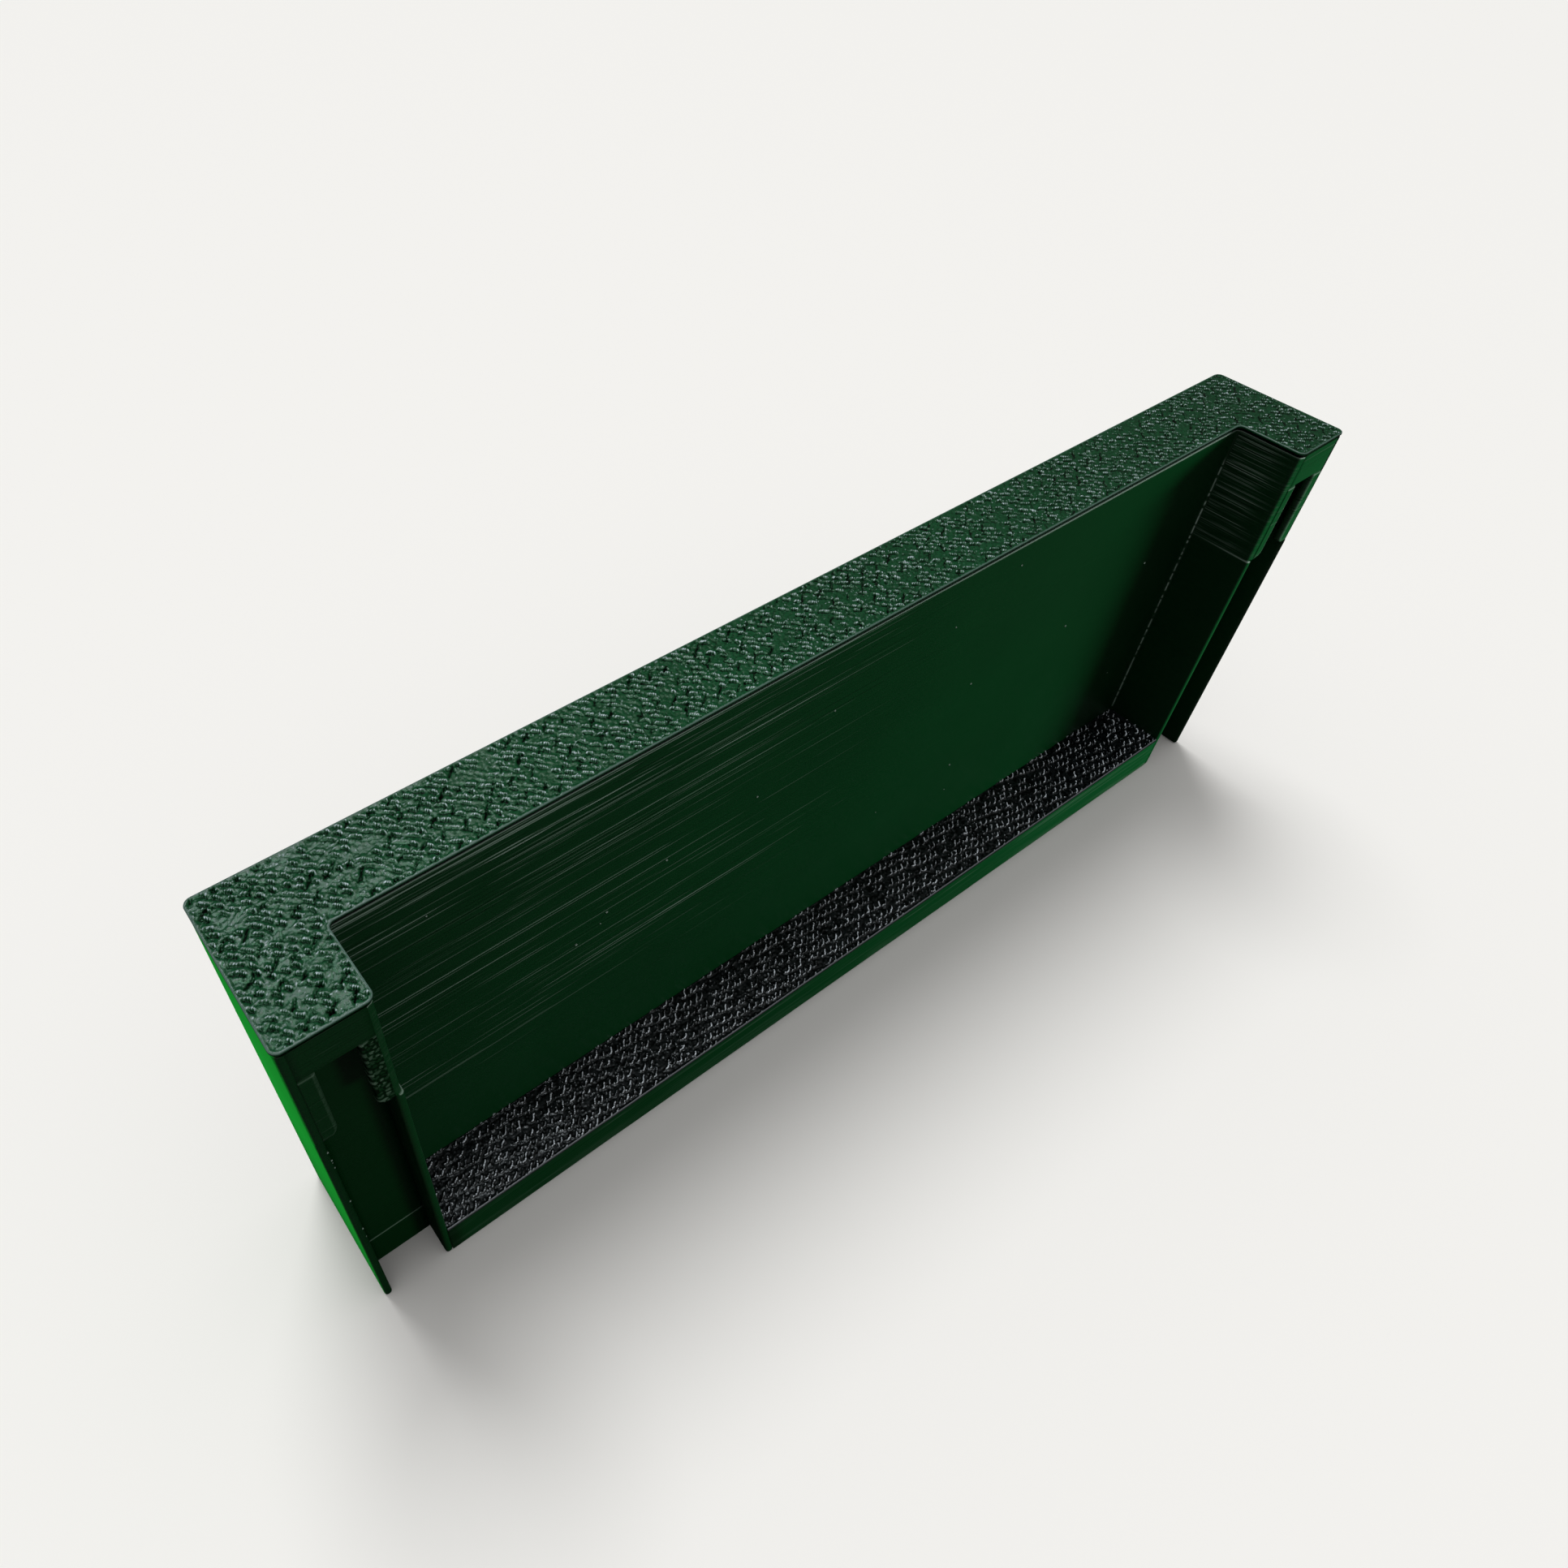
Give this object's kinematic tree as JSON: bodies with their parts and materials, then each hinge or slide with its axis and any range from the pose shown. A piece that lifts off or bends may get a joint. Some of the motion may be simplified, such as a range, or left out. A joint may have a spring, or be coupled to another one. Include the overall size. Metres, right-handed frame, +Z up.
{
  "type": "open-front wall holder with end channels",
  "caption": "Long shallow plastic holder with a hollow back, a wide open-front pocket over a thick floor, and a lipped slide-on channel at each end.",
  "frame": {"origin": "middle of the lower face, on the surface the holder stands on", "axes": "+X along the length to the right, -Y towards the open front, +Z up towards the grained top"},
  "size_m": [0.2, 0.0246, 0.0775],
  "materials": {
    "layered_plastic": "satin, fine horizontal layer lines",
    "bed_grain_plastic": "satin, leathery bed grain",
    "support_grain_plastic": "smooth front, rough tread on top",
    "infill_plastic": "plain, not seen from outside"
  },
  "bodies": {
    "root": {"top_plate": "bed_grain_plastic", "back_panel": "layered_plastic", "base_plate": "layered_plastic", "zigzag_web": "infill_plastic", "pocket_back_wall": "layered_plastic", "floor_block": "support_grain_plastic", "left_outer_wall": "layered_plastic", "left_inner_wall": "layered_plastic", "left_channel_back": "layered_plastic", "left_lintel": "layered_plastic", "left_outer_lip": "layered_plastic", "left_inner_lip": "layered_plastic", "right_outer_wall": "layered_plastic", "right_inner_wall": "layered_plastic", "right_channel_back": "layered_plastic", "right_lintel": "layered_plastic", "right_outer_lip": "layered_plastic", "right_inner_lip": "layered_plastic"}
  },
  "joints": []
}
